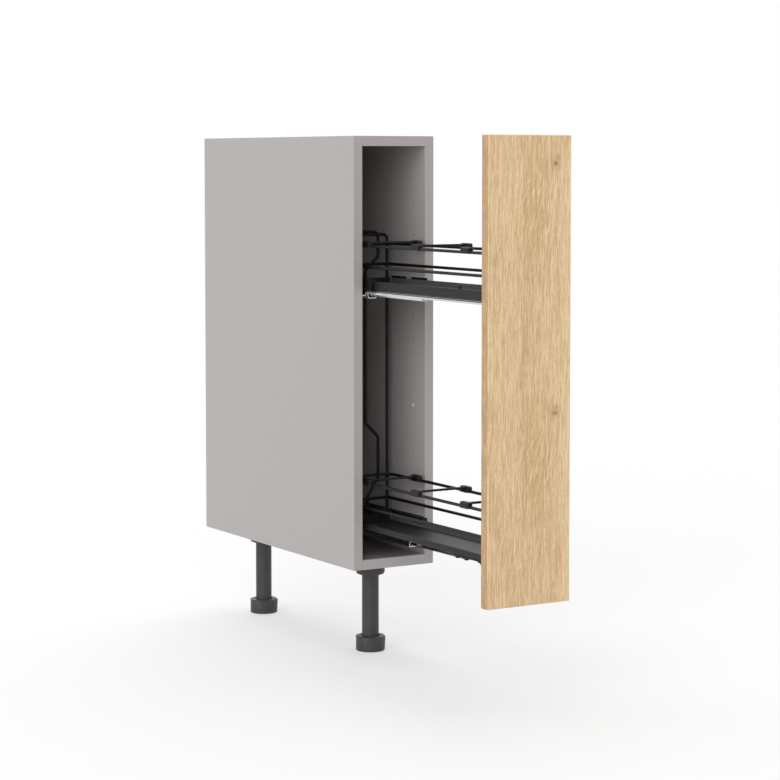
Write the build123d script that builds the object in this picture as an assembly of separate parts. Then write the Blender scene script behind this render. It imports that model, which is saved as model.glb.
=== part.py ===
"""Pull-out base cabinet, 150 mm wide, standing open as photographed.

A narrow melamine carcass on two centre-line legs holds a door-fronted pull-out: two trays with
wire rails, joined by a bent wire frame at the rear and steel brackets at the door. The pull-out
runs on two roller runners set diagonally, the upper one on the left wall and the lower one on
the right wall. Millimetres, +Z up, the door faces -Y. Everything that slides is drawn closed
and then moved out by its own share of the travel.
"""
from build123d import *
from math import radians, sin, tan
import os

# Carcass
carcass_width = 150.0
carcass_height = 700.0
carcass_depth = 535.0
panel_thickness = 16.0
back_thickness = 3.0
back_setback = 12.0
groove_depth = 7.0
groove_clearance = 0.1
leg_height = 150.0
overrun = 1.0

# Flats that stand for a full round, and chords for a rounded edge of a turned piece
small_round_sides = 8
wide_round_sides = 16
edge_chords = 2

# Door
door_width = 147.0
door_height = 697.0
door_thickness = 18.0
door_gap = 2.0
door_rise = 1.0
door_edge_ease = 0.8

# Travel of the pull-out
pull_out_open = 369.0
middle_rail_share = 0.5
inner_cage_share = 0.25
outer_cage_share = 0.75

# Levels: height of each runner above the carcass underside, and what stands on it
upper_rail_height = 439.3
lower_rail_height = 29.5
lower_riser_height = 15.6
upper_low_ring_rise = 33.0
upper_top_ring_rise = 66.8
lower_low_ring_rise = 37.0
lower_top_ring_rise = 77.0

# Runner
runner_length = 450.0
runner_setback = 3.0
rail_sheet = 1.2
rail_bend = 0.8
roller_diameter = 2.2
roller_clearance = 0.05
roller_length = 5.0
stage_gap = 1.0
flange_height = 48.7
rail_width = 27.7
lip_start = 18.9
trough_width = 5.9
trough_rise = 4.8
crest_start = 9.5
crest_width = 2.0
crest_rise = 2.8
slope_run = 1.9
channel_start = 15.0
flange_reach = 24.9
skirt_offset = 4.0
skirt_bottom = 8.0
shoulder_rise = 12.0
shoulder_width = 9.2
middle_setback = 25.0
middle_length = 400.0
cage_length = 190.0
inner_cage_start = 90.0
outer_cage_start = 115.0
cage_wall = 0.8
cage_gap = 0.4
cage_window_gap = 0.2
roller_inset = 0.5
rollers_per_row = 4
buffer_length = 12.0
buffer_thickness = 2.4
buffer_low = 13.0
buffer_high = 38.0
buffer_ease = 1.0
riser_sheet = 1.4

# Trays
tray_half_width = 48.0
tray_height = 10.8
tray_sheet = 1.0
tray_rim_roll = 1.2
tray_rim_height = 3.0
tray_rim_ease = 0.5
tray_corner = 5.0
tray_floor_bend = 3.0
tray_floor_ease = 1.1
tray_skirt_drop = 3.7
tray_skirt_end = 8.0

# Wires
wire_diameter = 5.0
ring_half_width = 46.0
weld_gap = 0.02
rear_frame_setback = 460.0
top_ring_bend = 15.0
outer_frame_over_ring = 15.2
inner_frame_over_ring = 19.1
outer_frame_bend = 8.0
inner_frame_bend = 7.0
inner_frame_wide = 29.5
inner_frame_narrow = 5.1
inner_frame_foot = 9.3
upper_jog_low = 22.3
upper_jog_rise = 22.6
lower_jog_low = 38.5
lower_jog_rise = 33.0
middle_jog_low = 138.5
middle_jog_rise = 25.0
frame_foot_rise = 5.0
leg_wire_rise = 0.5
lower_leg_overshoot = 6.0

# Dividers
divider_wire_diameter = 4.0
divider_rise = 4.9
divider_place_shares = (0.176, 0.487, 0.813)
clip_length = 24.0
clip_width = 9.5
clip_below = 2.2
clip_above = 7.6
clip_mouth = 3.6
clip_clearance = 0.25
clip_ease = 1.8
clip_socket_depth = 4.75

# Rear holders, front clips and rim guards
holder_length = 98.5
holder_rear_gap = 3.0
holder_offset = 6.0
holder_over_rim = 5.5
holder_cap_width = 4.4
holder_lip_drop = 3.4
holder_lip_length = 33.0
holder_round = 1.2
holder_pocket_depth = 1.2
holder_pocket_count = 3
holder_pocket_margin = 6.0
front_clip_place = 101.0
front_clip_length = 35.0
front_clip_width = 5.0
front_clip_height = 6.6
front_clip_thickness = 1.6
guard_height = 3.3
guard_width = 3.0
guard_ease = 0.8
guard_start_shares = (0.752, 0.896, 0.933)
guard_end_shares = (0.854, 0.926, 0.99)

# Door brackets and their fixings
bracket_sheet = 2.0
bracket_half_width = 50.0
bracket_above_ring = 10.0
bracket_corner = 6.0
arm_inner = 34.0
arm_outer = 46.0
arm_length = 119.0
arm_bend = 1.0
door_screw_offset = 36.0
door_screw_low = 21.0
door_screw_drop = 9.0
door_screw_radius = 2.0
door_screw_depth = 12.0
door_screw_head_radius = 4.0
door_screw_head_height = 2.4
screw_clearance = 0.1
head_ease_share = 0.4
adjuster_places = (45.0, 88.0, 113.0)
adjuster_radii = (7.0, 7.0, 4.0)
adjuster_height = 1.4
adjuster_shank_radius = 2.5

# Bumpers
bumper_radius = 4.0
bumper_thickness = 1.7
bumper_inset = 40.0

# Legs
front_leg_setback = 76.0
rear_leg_setback = 80.0
socket_radius = 24.0
socket_height = 23.0
socket_round = 5.0
socket_plate = 3.0
tube_radius = 14.0
tube_wall = 2.0
tube_fit = 0.05
tube_collar_height = 18.0
socket_screw_offset = 18.6
socket_screw_radius = 2.0
socket_screw_count = 4
socket_screw_head_radius = 3.2
socket_screw_pocket = 6.0
socket_screw_head_height = 2.0
socket_screw_bite = 11.0
foot_radius = 24.0
foot_height = 25.0
foot_top_round = 3.0
foot_sole_round = 1.5
foot_recess_radius = 15.6
foot_recess_depth = 9.0
foot_tube_gap = 4.0
spindle_radius = 11.0
spindle_clearance = 0.06
spindle_length = 52.0
spindle_round = 1.5

# Holes, screws and panel connectors
system_setback = 37.0
system_pitch = 32.0
system_steps = (0, 14)
system_hole_radius = 2.5
system_hole_depth = 12.0
system_height_shares = (0.833, 0.770, 0.5735, 0.523, 0.263)
cap_height_share = 0.369
cap_radius = 3.4
cap_thickness = 1.0
cap_shank_depth = 9.0
runner_screw_shares = (0.0, 0.58, 0.92)
runner_screw_height = 40.0
runner_screw_radius = 2.5
runner_screw_bite = 11.0
runner_screw_head_radius = 4.0
runner_screw_head_height = 1.8
worktop_hole_radius = 2.5
worktop_hole_setback = 60.0
dowel_radius = 4.0
dowel_length = 30.0
dowel_in_side = 10.0
dowel_end_gap = 0.5
dowel_clearance = 0.05
dowel_ease = 0.8
dowel_setback = 72.0
cam_radius = 7.5
cam_height = 12.0
cam_pocket_gap = 0.1
cam_setback = 34.0
cam_slot_radius = 3.6
cam_driver_width = 1.6
cam_driver_depth = 2.0
cam_bolt_setback = 40.0
cam_bolt_radius = 3.0
cam_bolt_bite = 10.0
cam_bolt_neck_radius = 1.8
cam_bolt_neck_length = 5.0
cam_bolt_head_length = 3.0
cam_bolt_clearance = 0.3

# Places worked out from the sizes above
half_width = carcass_width / 2
inner_half = half_width - panel_thickness
carcass_bottom = leg_height
carcass_top = leg_height + carcass_height
back_face = carcass_depth - back_setback - back_thickness
door_face = -door_gap
bracket_face = door_face + bracket_sheet
roller_space = roller_diameter + 2 * roller_clearance
track_height = 3 * rail_sheet + 2 * roller_space
rail_height = 2 * track_height + stage_gap
wire_radius = wire_diameter / 2
wire_step = wire_diameter + weld_gap
frame_x = ring_half_width - wire_step
outer_frame_y = rear_frame_setback
top_ring_rear = outer_frame_y + top_ring_bend - 2 * (top_ring_bend * wire_step) ** 0.5
low_ring_rear = outer_frame_y + wire_step
inner_frame_y = low_ring_rear + wire_step
tray_rear = outer_frame_y - wire_radius - weld_gap
tray_wall_half = tray_half_width - tray_rim_roll
tray_wall_offset = inner_half - tray_wall_half
joint_setbacks = (cam_bolt_setback, carcass_depth - cam_bolt_setback - back_setback)
dowel_setbacks = (dowel_setback, carcass_depth - dowel_setback - back_setback)
frame_shift = -(carcass_depth + door_face - door_thickness - pull_out_open) / 2


class Level:
    """One runner with its tray and rings; side is -1 on the left wall and 1 on the right."""

    def __init__(self, side, rail_above_floor, riser, low_ring_rise, top_ring_rise):
        self.side = side
        self.rail_z = carcass_bottom + rail_above_floor
        self.riser = riser
        self.tray_z = self.rail_z + rail_height + riser
        self.low_ring_z = self.tray_z + low_ring_rise
        self.top_ring_z = self.tray_z + top_ring_rise
        self.rim_z = self.tray_z + tray_height


levels = {
    "upper": Level(-1, upper_rail_height, 0.0, upper_low_ring_rise, upper_top_ring_rise),
    "lower": Level(1, lower_rail_height, lower_riser_height, lower_low_ring_rise,
                   lower_top_ring_rise),
}
upper = levels["upper"]
lower = levels["lower"]
parts = {}


# Shape helpers
def block(x, y, z):
    """Box between two corners, given as (low, high) pairs."""
    size = [high - low for low, high in (x, y, z)]
    middle = [(high + low) / 2 for low, high in (x, y, z)]
    return Pos(*middle) * Box(*size)


def rod(start, direction, radius, length, sides=small_round_sides):
    """Rod or bore from a point along a direction: with flats, or round if sides is zero."""
    section = RegularPolygon(radius, sides) if sides else Circle(radius)
    return Plane(origin=start, z_dir=direction) * extrude(section, amount=length)


def eased_corner(before, corner, after, radius):
    """Points along a rounded corner: its two tangent points and the chords between them."""
    point = Vector(*corner[:2])
    to_before = (Vector(*before[:2]) - point).normalized()
    to_after = (Vector(*after[:2]) - point).normalized()
    half_angle = radians(to_before.get_angle(to_after)) / 2
    bisector = (to_before + to_after).normalized()
    centre = point + bisector * (radius / sin(half_angle))
    start = point + to_before * (radius / tan(half_angle)) - centre
    end = point + to_after * (radius / tan(half_angle)) - centre
    sweep_angle = start.get_signed_angle(end, Vector(0, 0, 1))
    steps = [start.rotate(Axis.Z, sweep_angle * i / edge_chords) for i in range(edge_chords + 1)]
    return [tuple(centre + step)[:2] for step in steps]


def outline(*corners):
    """Closed flat outline from (x, y, corner radius) triples."""
    points = []
    for i, (x, y, radius) in enumerate(corners):
        if radius:
            points += eased_corner(corners[i - 1], corners[i], corners[(i + 1) % len(corners)], radius)
        else:
            points.append((x, y))
    return make_face(Polyline(*points, close=True))


def spun(face, x, y, z):
    """Revolve a half outline (radius, height) about a vertical axis."""
    return Pos(x, y, z) * revolve(Plane.XZ * face, axis=Axis.Z)


def extruded(face, start, length):
    """Run a section drawn in X and Z along +Y from a start."""
    return Pos(0, start, 0) * extrude(Plane.XZ * face, amount=-length)


def rolled(points, sheet):
    """Section of a rolled steel strip along its middle line, with its bends in short chords."""
    line = [points[0]]
    for before, corner, after in zip(points, points[1:], points[2:]):
        line += eased_corner(before, corner, after, rail_bend)
    return trace(Polyline(*line, points[-1]), line_width=sheet)


def bent_wire(points, radius, bend):
    """Wire along straight runs joined by tangent bends."""
    path = FilletPolyline(*points, radius=bend)
    return sweep((path ^ 0) * RegularPolygon(radius, small_round_sides), path)


def on_wall(shape, level):
    """Set a runner piece, drawn from the wall and the rail's underside, on its own wall."""
    placed = Pos(-inner_half, 0, level.rail_z) * shape
    return placed if level.side < 0 else mirror(placed, about=Plane.YZ)


def on_side(shape, level):
    """Mirror a piece drawn for a runner on the left to the level's own side."""
    return shape if level.side < 0 else mirror(shape, about=Plane.YZ)


def slid(shape, share=1.0):
    """Move a sliding piece out by its share of the travel."""
    return Pos(0, -pull_out_open * share, 0) * shape


def group(solids):
    """Several like solids as one node."""
    return Compound([solid for shape in solids for solid in shape.solids()])


def stud(seat, direction, radius, height):
    """Low round head with an eased rim, standing on its seat against the direction."""
    head = extrude(RegularPolygon(radius, small_round_sides), amount=-height)
    head = chamfer(head.faces().sort_by(Axis.Z)[0].edges(), head_ease_share * height)
    return Plane(origin=seat, z_dir=direction) * head


def screw(seat, direction, head_radius, head_height, radius, length):
    """Pan-head screw: the head stands on its seat, the shank runs along the direction."""
    return stud(seat, direction, head_radius, head_height) + rod(seat, direction, radius, length)


# Carcass
def runner_screw_places(level):
    """Places of a cabinet rail's screws, on the wall's row of system holes, as (y, z)."""
    height = level.rail_z + runner_screw_height
    last_step = (runner_length - system_setback) // system_pitch
    steps = [round(share * last_step) for share in runner_screw_shares]
    return [(system_setback + step * system_pitch, height) for step in steps]


def cap_place():
    """Place of the linking screw's cap on the right wall, as (y, z)."""
    return system_setback, carcass_bottom + cap_height_share * carcass_height


def wall_bores(side):
    """Blind holes in a side panel's inner face, as (y, z, radius, depth)."""
    bores = []
    for step in system_steps:
        for share in system_height_shares:
            height = carcass_bottom + share * carcass_height
            bores.append((system_setback + step * system_pitch, height, system_hole_radius,
                          system_hole_depth))
    for level in levels.values():
        if level.side == side:
            for y, z in runner_screw_places(level):
                bores.append((y, z, runner_screw_radius + screw_clearance,
                              runner_screw_bite + screw_clearance))
    if side == lower.side:
        bores.append((*cap_place(), system_hole_radius, system_hole_depth))
    for z in (carcass_bottom + panel_thickness / 2, carcass_top - panel_thickness / 2):
        for y in dowel_setbacks:
            bores.append((y, z, dowel_radius + dowel_clearance, dowel_in_side + dowel_end_gap))
        for y in joint_setbacks:
            bores.append((y, z, cam_bolt_radius + screw_clearance, cam_bolt_bite))
    return bores


def side_panel(side):
    """Side panel with the groove for the back panel and its blind holes."""
    panel = block((inner_half, half_width), (0, carcass_depth), (carcass_bottom, carcass_top))
    panel -= block((inner_half - overrun, inner_half + groove_depth),
                   (back_face, back_face + back_thickness + groove_clearance),
                   (carcass_bottom - overrun, carcass_top + overrun))
    for y, z, radius, depth in wall_bores(side):
        panel -= rod((inner_half, y, z), (1, 0, 0), radius, depth)
    return panel if side > 0 else mirror(panel, about=Plane.YZ)


def turned_over(shape):
    """Reflect a piece of the bottom panel's joints to the top panel."""
    return mirror(shape, about=Plane((0, 0, carcass_bottom + carcass_height / 2)))


def end_panel():
    """Bottom panel, or the top one turned over: groove, dowel and bolt bores, cam pockets."""
    top_face = carcass_bottom + panel_thickness
    middle = carcass_bottom + panel_thickness / 2
    panel = block((-inner_half, inner_half), (0, carcass_depth), (carcass_bottom, top_face))
    panel -= block((-half_width, half_width),
                   (back_face, back_face + back_thickness + groove_clearance),
                   (top_face - groove_depth, top_face + overrun))
    for side in (-1, 1):
        for y in dowel_setbacks:
            panel -= rod((side * inner_half, y, middle), (-side, 0, 0),
                         dowel_radius + dowel_clearance,
                         dowel_length - dowel_in_side + dowel_end_gap)
        for y in joint_setbacks:
            panel -= rod((side * inner_half, y, middle), (-side, 0, 0),
                         cam_bolt_radius + cam_bolt_clearance, cam_setback)
            panel -= rod((side * (inner_half - cam_setback), y, carcass_bottom), (0, 0, 1),
                         cam_radius + cam_pocket_gap, cam_height + cam_pocket_gap,
                         wide_round_sides)
    return panel


def bottom_panel():
    """Bottom panel with pilot holes for the leg sockets' screws."""
    panel = end_panel()
    for y in leg_places():
        for x_offset, y_offset in socket_screw_offsets():
            panel -= rod((x_offset, y + y_offset, carcass_bottom), (0, 0, 1),
                         socket_screw_radius + screw_clearance, socket_screw_bite)
    return panel


def top_panel():
    """Top panel with two holes for the worktop's screws."""
    panel = turned_over(end_panel())
    for y in (worktop_hole_setback, carcass_depth - worktop_hole_setback):
        panel -= rod((0, y, carcass_top - panel_thickness - overrun), (0, 0, 1),
                     worktop_hole_radius, panel_thickness + 2 * overrun, sides=0)
    return panel


def back_panel():
    """Thin back panel held in the four grooves."""
    reach = groove_depth - groove_clearance
    return block((-inner_half - reach, inner_half + reach),
                 (back_face, back_face + back_thickness),
                 (carcass_bottom + panel_thickness - reach, carcass_top - panel_thickness + reach))


def at_joints(make, setbacks):
    """Copy a fitting to both ends of the bottom and top panels."""
    low = [make(side, y) for side in (-1, 1) for y in setbacks]
    return group(low + [turned_over(shape) for shape in low])


def dowel(side, y):
    """Wooden dowel across a corner joint, with broken ends."""
    start = (side * (inner_half + dowel_in_side), y, carcass_bottom + panel_thickness / 2)
    pin = rod(start, (-side, 0, 0), dowel_radius, dowel_length)
    ends = pin.faces().sort_by(Axis.X)
    return chamfer(ends[0].edges() + ends[-1].edges(), dowel_ease)


def cam(side, y):
    """Cam disc with the slot for the bolt's head and a driver slot in its face."""
    x = side * (inner_half - cam_setback)
    disc = rod((x, y, carcass_bottom), (0, 0, 1), cam_radius, cam_height, wide_round_sides)
    slot_start = (x + side * (cam_radius + overrun), y, carcass_bottom + panel_thickness / 2)
    disc -= rod(slot_start, (-side, 0, 0), cam_slot_radius, cam_radius + overrun + cam_slot_radius)
    disc -= block((x - cam_radius, x + cam_radius),
                  (y - cam_driver_width / 2, y + cam_driver_width / 2),
                  (carcass_bottom - overrun, carcass_bottom + cam_driver_depth))
    return disc


def cam_bolt(side, y):
    """Connecting bolt from the side panel into the cam: shank, neck and head."""
    shank = cam_bolt_bite + cam_setback - cam_bolt_head_length / 2 - cam_bolt_neck_length
    start = side * (inner_half + cam_bolt_bite)
    bolt = Part()
    run = 0
    for radius, length in ((cam_bolt_radius, shank), (cam_bolt_neck_radius, cam_bolt_neck_length),
                           (cam_bolt_radius, cam_bolt_head_length)):
        bolt += rod((start - side * run, y, carcass_bottom + panel_thickness / 2), (-side, 0, 0),
                    radius, length)
        run += length
    return bolt


def linking_cap():
    """Light cap in the right wall's screw hole."""
    seat = (inner_half, *cap_place())
    return screw(seat, (1, 0, 0), cap_radius, cap_thickness, system_hole_radius - screw_clearance,
                 cap_shank_depth)


# Legs
def leg_places():
    """Distances of the front and rear legs from the carcass front."""
    return front_leg_setback, carcass_depth - rear_leg_setback


def socket_screw_offsets():
    """Offsets of a socket's screws from the leg's axis, as (x, y)."""
    places = PolarLocations(socket_screw_offset, socket_screw_count, start_angle=45)
    return [(place.position.X, place.position.Y) for place in places]


def leg_socket(y):
    """Round socket under the bottom panel: a blind bore for the tube, screw wells round it."""
    bore = tube_radius + tube_fit
    profile = outline((0, 0, 0), (socket_radius, 0, 0), (socket_radius, -socket_height, socket_round),
                      (bore, -socket_height, 0), (bore, -socket_plate, 0), (0, -socket_plate, 0))
    socket = spun(profile, 0, y, carcass_bottom)
    for x_offset, y_offset in socket_screw_offsets():
        foot = (x_offset, y + y_offset, carcass_bottom - socket_height - overrun)
        well = socket_height + overrun - socket_screw_pocket
        socket -= rod(foot, (0, 0, 1), socket_screw_head_radius + screw_clearance, well)
        socket -= rod(foot, (0, 0, 1), socket_screw_radius + screw_clearance,
                      socket_height + 2 * overrun)
    return socket


def socket_screws():
    """Screws up through the sockets into the bottom panel."""
    screws = []
    for y in leg_places():
        for x_offset, y_offset in socket_screw_offsets():
            seat = (x_offset, y + y_offset, carcass_bottom - socket_screw_pocket)
            screws.append(screw(seat, (0, 0, 1), socket_screw_head_radius,
                                socket_screw_head_height, socket_screw_radius,
                                socket_screw_pocket + socket_screw_bite - screw_clearance))
    return group(screws)


def leg_tube(y):
    """Leg tube with a guide collar for the spindle at its lower end."""
    low = foot_height - foot_recess_depth + foot_tube_gap
    high = carcass_bottom - socket_plate
    collar_top = low + tube_collar_height
    bore = tube_radius - tube_wall
    guide = spindle_radius + spindle_clearance
    profile = outline((guide, low, 0), (tube_radius, low, 0), (tube_radius, high, 0),
                      (bore, high, 0), (bore, collar_top, 0), (guide, collar_top, 0))
    return spun(profile, 0, y, 0)


def foot(y):
    """Screw foot: a round sole with a recess for the tube and the spindle standing in it."""
    recess = foot_height - foot_recess_depth
    spindle_top = recess + spindle_length
    profile = outline((0, 0, 0), (foot_radius, 0, foot_sole_round),
                      (foot_radius, foot_height, foot_top_round),
                      (foot_recess_radius, foot_height, 0), (foot_recess_radius, recess, 0),
                      (spindle_radius, recess, 0), (spindle_radius, spindle_top, spindle_round),
                      (0, spindle_top, 0))
    return spun(profile, 0, y, 0)


# Runners
def cabinet_rail(level):
    """Fixed rail: wall flange, trough, crest, and a C track for the middle rail's rollers."""
    half = rail_sheet / 2
    trough = trough_rise + half
    crest_end = crest_start + crest_width
    wall = rail_width - half
    section = rolled([(half, flange_height), (half, trough), (half + trough_width, trough),
                      (crest_start, trough + crest_rise), (crest_end, trough + crest_rise),
                      (crest_end + slope_run, half), (wall, half), (wall, track_height - half),
                      (lip_start, track_height - half)], rail_sheet)
    rail = on_wall(extruded(section, runner_setback, runner_length), level)
    for y, z in runner_screw_places(level):
        rail -= rod((level.side * inner_half, y, z), (-level.side, 0, 0),
                    runner_screw_radius + screw_clearance, rail_sheet + overrun)
    return rail


def middle_rail(level):
    """Sliding middle rail: a channel whose two flanges run between the rows of rollers."""
    half = rail_sheet / 2
    low = rail_sheet + roller_space + half
    web = channel_start + half
    section = rolled([(flange_reach, low), (web, low), (web, rail_height - low),
                      (flange_reach, rail_height - low)], rail_sheet)
    rail = extruded(section, runner_setback + middle_setback, middle_length)
    return slid(on_wall(rail, level), middle_rail_share)


def drawer_rail(level):
    """Rail under the tray: skirt, shoulder for the clips, top plate and a lipped track."""
    half = rail_sheet / 2
    shoulder = shoulder_rise + half
    web = skirt_offset + shoulder_width + half
    wall = rail_width - half
    section = rolled([(skirt_offset + half, skirt_bottom), (skirt_offset + half, shoulder),
                      (web, shoulder), (web, rail_height - half), (wall, rail_height - half),
                      (wall, track_height + stage_gap + half),
                      (lip_start, track_height + stage_gap + half)], rail_sheet)
    return slid(on_wall(extruded(section, runner_setback, runner_length), level))


def roller_rows(start, lift):
    """Axes of a cage's rollers, as (y, z) seen from the runner: two rows of equal pitch."""
    pitch = cage_length / rollers_per_row
    low = lift + rail_sheet + roller_space / 2
    high = lift + track_height - rail_sheet - roller_space / 2
    first = runner_setback + middle_setback + start + pitch / 2
    return [(first + i * pitch, z) for z in (low, high) for i in range(rollers_per_row)]


def roller_cage(level, start, lift, share):
    """Cage strip with two combs whose slots keep the rollers apart."""
    roller_start = lip_start + roller_inset
    strip = flange_reach + cage_gap
    first = runner_setback + middle_setback + start
    run = (first, first + cage_length)
    cage = block((strip, strip + cage_wall), run,
                 (lift + rail_sheet + cage_gap, lift + track_height - rail_sheet - cage_gap))
    for z in sorted({z for _, z in roller_rows(start, lift)}):
        cage += block((roller_start, strip + cage_wall), run, (z - cage_wall / 2, z + cage_wall / 2))
    for y, z in roller_rows(start, lift):
        gap = roller_diameter / 2 + cage_window_gap
        cage -= block((roller_start - overrun, roller_start + roller_length + cage_window_gap),
                      (y - gap, y + gap), (z - cage_wall, z + cage_wall))
    return slid(on_wall(cage, level), share)


def rollers(level, start, lift, share):
    """Needle rollers of one cage."""
    row = [rod((lip_start + roller_inset, y, z), (1, 0, 0), roller_diameter / 2, roller_length)
           for y, z in roller_rows(start, lift)]
    return slid(on_wall(group(row), level), share)


def rail_buffer(level):
    """Plastic buffer on the flange's front end, beside the path of the drawer rail."""
    buffer = block((rail_sheet, rail_sheet + buffer_thickness),
                   (runner_setback, runner_setback + buffer_length), (buffer_low, buffer_high))
    corners = buffer.faces().sort_by(Axis.X)[-1].edges()
    return on_wall(chamfer(corners, buffer_ease), level)


def runner_screws():
    """Screws through the cabinet rails' flanges into the walls."""
    screws = []
    for level in levels.values():
        for y, z in runner_screw_places(level):
            seat = (level.side * (inner_half - rail_sheet), y, z)
            screws.append(screw(seat, (level.side, 0, 0), runner_screw_head_radius,
                                runner_screw_head_height, runner_screw_radius,
                                rail_sheet + runner_screw_bite))
    return group(screws)


def lower_riser():
    """Folded channel that lifts the lower tray off its drawer rail."""
    half = riser_sheet / 2
    edge = skirt_offset + shoulder_width + rail_sheet
    section = rolled([(edge, rail_height + half), (rail_width - half, rail_height + half),
                      (rail_width - half, rail_height + lower_riser_height - half),
                      (edge, rail_height + lower_riser_height - half)], riser_sheet)
    return slid(on_wall(extruded(section, runner_setback, runner_length), lower))


# Trays and what clips to them
def rounded_slab(half, y, corner, low, high):
    """Upright slab with rounded corners, from its half width and its run along Y."""
    start, end = y
    plan = RectangleRounded(2 * half, end - start, corner)
    return extrude(Pos(0, (start + end) / 2, low) * plan, amount=high - low)


def tray(level):
    """Sheet tray: bent-up walls, a rolled rim, and a skirt beside a runner it stands on."""
    low = level.tray_z
    high = level.rim_z
    wall_run = (bracket_face + tray_rim_roll, tray_rear - tray_rim_roll)
    inner_run = (wall_run[0] + tray_sheet, wall_run[1] - tray_sheet)
    corner = tray_corner - tray_rim_roll
    body = rounded_slab(tray_wall_half, wall_run, corner, low, high)
    body = fillet(body.faces().sort_by(Axis.Z)[0].edges(), tray_floor_bend)
    rim = rounded_slab(tray_half_width, (bracket_face, tray_rear), tray_corner,
                       high - tray_rim_height, high)
    rim_faces = rim.faces().sort_by(Axis.Z)
    rim = chamfer(rim_faces[0].edges() + rim_faces[-1].edges(), tray_rim_ease)
    hollow = rounded_slab(tray_wall_half - tray_sheet, inner_run, corner - tray_sheet,
                          low + tray_sheet, high + overrun)
    hollow = chamfer(hollow.faces().sort_by(Axis.Z)[0].edges(), tray_floor_ease)
    shell = body + rim - hollow
    if level.riser == 0:
        skirt = block((-tray_wall_half, -tray_wall_half + tray_sheet),
                      (bracket_face + tray_skirt_end, tray_rear - tray_skirt_end),
                      (low - tray_skirt_drop, low + tray_floor_bend))
        shell += on_side(skirt, level)
    return slid(shell)


def rear_holder(level):
    """Moulded holder between drawer rail and tray: a wall, a cap over the rim and a short lip."""
    rim = level.rim_z - level.rail_z
    shoulder = shoulder_rise + rail_sheet
    top = rim + holder_over_rim
    rim_outer = inner_half - tray_half_width
    wall_inner = tray_wall_offset + tray_sheet
    cap = rim_outer + holder_cap_width
    end = runner_setback + runner_length - holder_rear_gap
    start = end - holder_length
    profile = outline((holder_offset, shoulder, 0), (rim_outer, shoulder, 0), (rim_outer, rim, 0),
                      (cap, rim, 0), (cap, top, holder_round), (holder_offset, top, holder_round))
    holder = extruded(profile, start, holder_length)
    holder += block((wall_inner, cap), (start, start + holder_lip_length),
                    (rim - holder_lip_drop, rim))
    pitch = (holder_length - holder_pocket_margin) / holder_pocket_count
    for i in range(holder_pocket_count):
        pocket = start + holder_pocket_margin + i * pitch
        holder -= block((holder_offset - overrun, holder_offset + holder_pocket_depth),
                        (pocket, pocket + pitch - holder_pocket_margin),
                        (shoulder + holder_pocket_margin, rim))
    return slid(on_wall(holder, level))


def tray_front_clip(level):
    """Small hook on the rim: an upright with a finger that runs forwards above the rim."""
    rim = level.rim_z - level.rail_z
    rim_outer = inner_half - tray_half_width
    across = (rim_outer, tray_wall_offset + tray_sheet)
    top = rim + front_clip_height
    clip = block(across, (front_clip_place - front_clip_width, front_clip_place), (rim, top))
    clip += block(across, (front_clip_place - front_clip_length, front_clip_place),
                  (top - front_clip_thickness, top))
    return slid(on_wall(clip, level))


def rim_guards(level):
    """Short guards standing on the rim on the side away from the runner."""
    middle = tray_half_width - (tray_rim_roll + tray_sheet) / 2
    guards = []
    for start_share, end_share in zip(guard_start_shares, guard_end_shares):
        guard = block((middle - guard_width / 2, middle + guard_width / 2),
                      (tray_rear * start_share, tray_rear * end_share),
                      (level.rim_z, level.rim_z + guard_height))
        guards.append(chamfer(guard.faces().sort_by(Axis.Z)[-1].edges(), guard_ease))
    return slid(on_side(group(guards), level))


# Wires
def ring(z, rear, bend):
    """Basket rail: a long U of wire from the door bracket round the rear."""
    path = [(-ring_half_width, bracket_face, z), (-ring_half_width, rear, z),
            (ring_half_width, rear, z), (ring_half_width, bracket_face, z)]
    return slid(bent_wire(path, wire_radius, bend))


def rear_frame_outer():
    """Outer bow behind the trays: one long leg, one short leg, and a low leg by itself."""
    top = upper.top_ring_z + outer_frame_over_ring
    low = lower.tray_z + leg_wire_rise
    bow = bent_wire([(frame_x, outer_frame_y, low), (frame_x, outer_frame_y, top),
                     (-frame_x, outer_frame_y, top),
                     (-frame_x, outer_frame_y, upper.tray_z + leg_wire_rise)],
                    wire_radius, outer_frame_bend)
    low_leg = rod((-frame_x, outer_frame_y, low), (0, 0, 1), wire_radius,
                  lower.top_ring_z + lower_leg_overshoot - low)
    return slid(group([bow, low_leg]))


def rear_frame_inner():
    """Inner bow: wide round the baskets, drawn in between them, with feet at the lower tray."""
    foot_end = tray_rear - tray_rim_roll + weld_gap
    foot_z = lower.tray_z + frame_foot_rise
    lower_jog = lower.tray_z + lower_jog_low
    middle_jog = lower.tray_z + middle_jog_low
    upper_jog = upper.tray_z + upper_jog_low
    half = [(inner_frame_foot, foot_end, foot_z), (inner_frame_foot, inner_frame_y, foot_z),
            (inner_frame_foot, inner_frame_y, lower_jog),
            (inner_frame_wide, inner_frame_y, lower_jog + lower_jog_rise),
            (inner_frame_wide, inner_frame_y, middle_jog),
            (inner_frame_narrow, inner_frame_y, middle_jog + middle_jog_rise),
            (inner_frame_narrow, inner_frame_y, upper_jog),
            (inner_frame_wide, inner_frame_y, upper_jog + upper_jog_rise),
            (inner_frame_wide, inner_frame_y, upper.top_ring_z + inner_frame_over_ring)]
    other = [(-x, y, z) for x, y, z in reversed(half)]
    return slid(bent_wire(half + other, wire_radius, inner_frame_bend))


def divider_wire(level, y):
    """Wire across the basket between two clips."""
    reach = ring_half_width - clip_width / 2 + clip_socket_depth - clip_clearance
    start = (-reach, y, level.top_ring_z + divider_rise)
    return slid(rod(start, (1, 0, 0), divider_wire_diameter / 2, 2 * reach))


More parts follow.
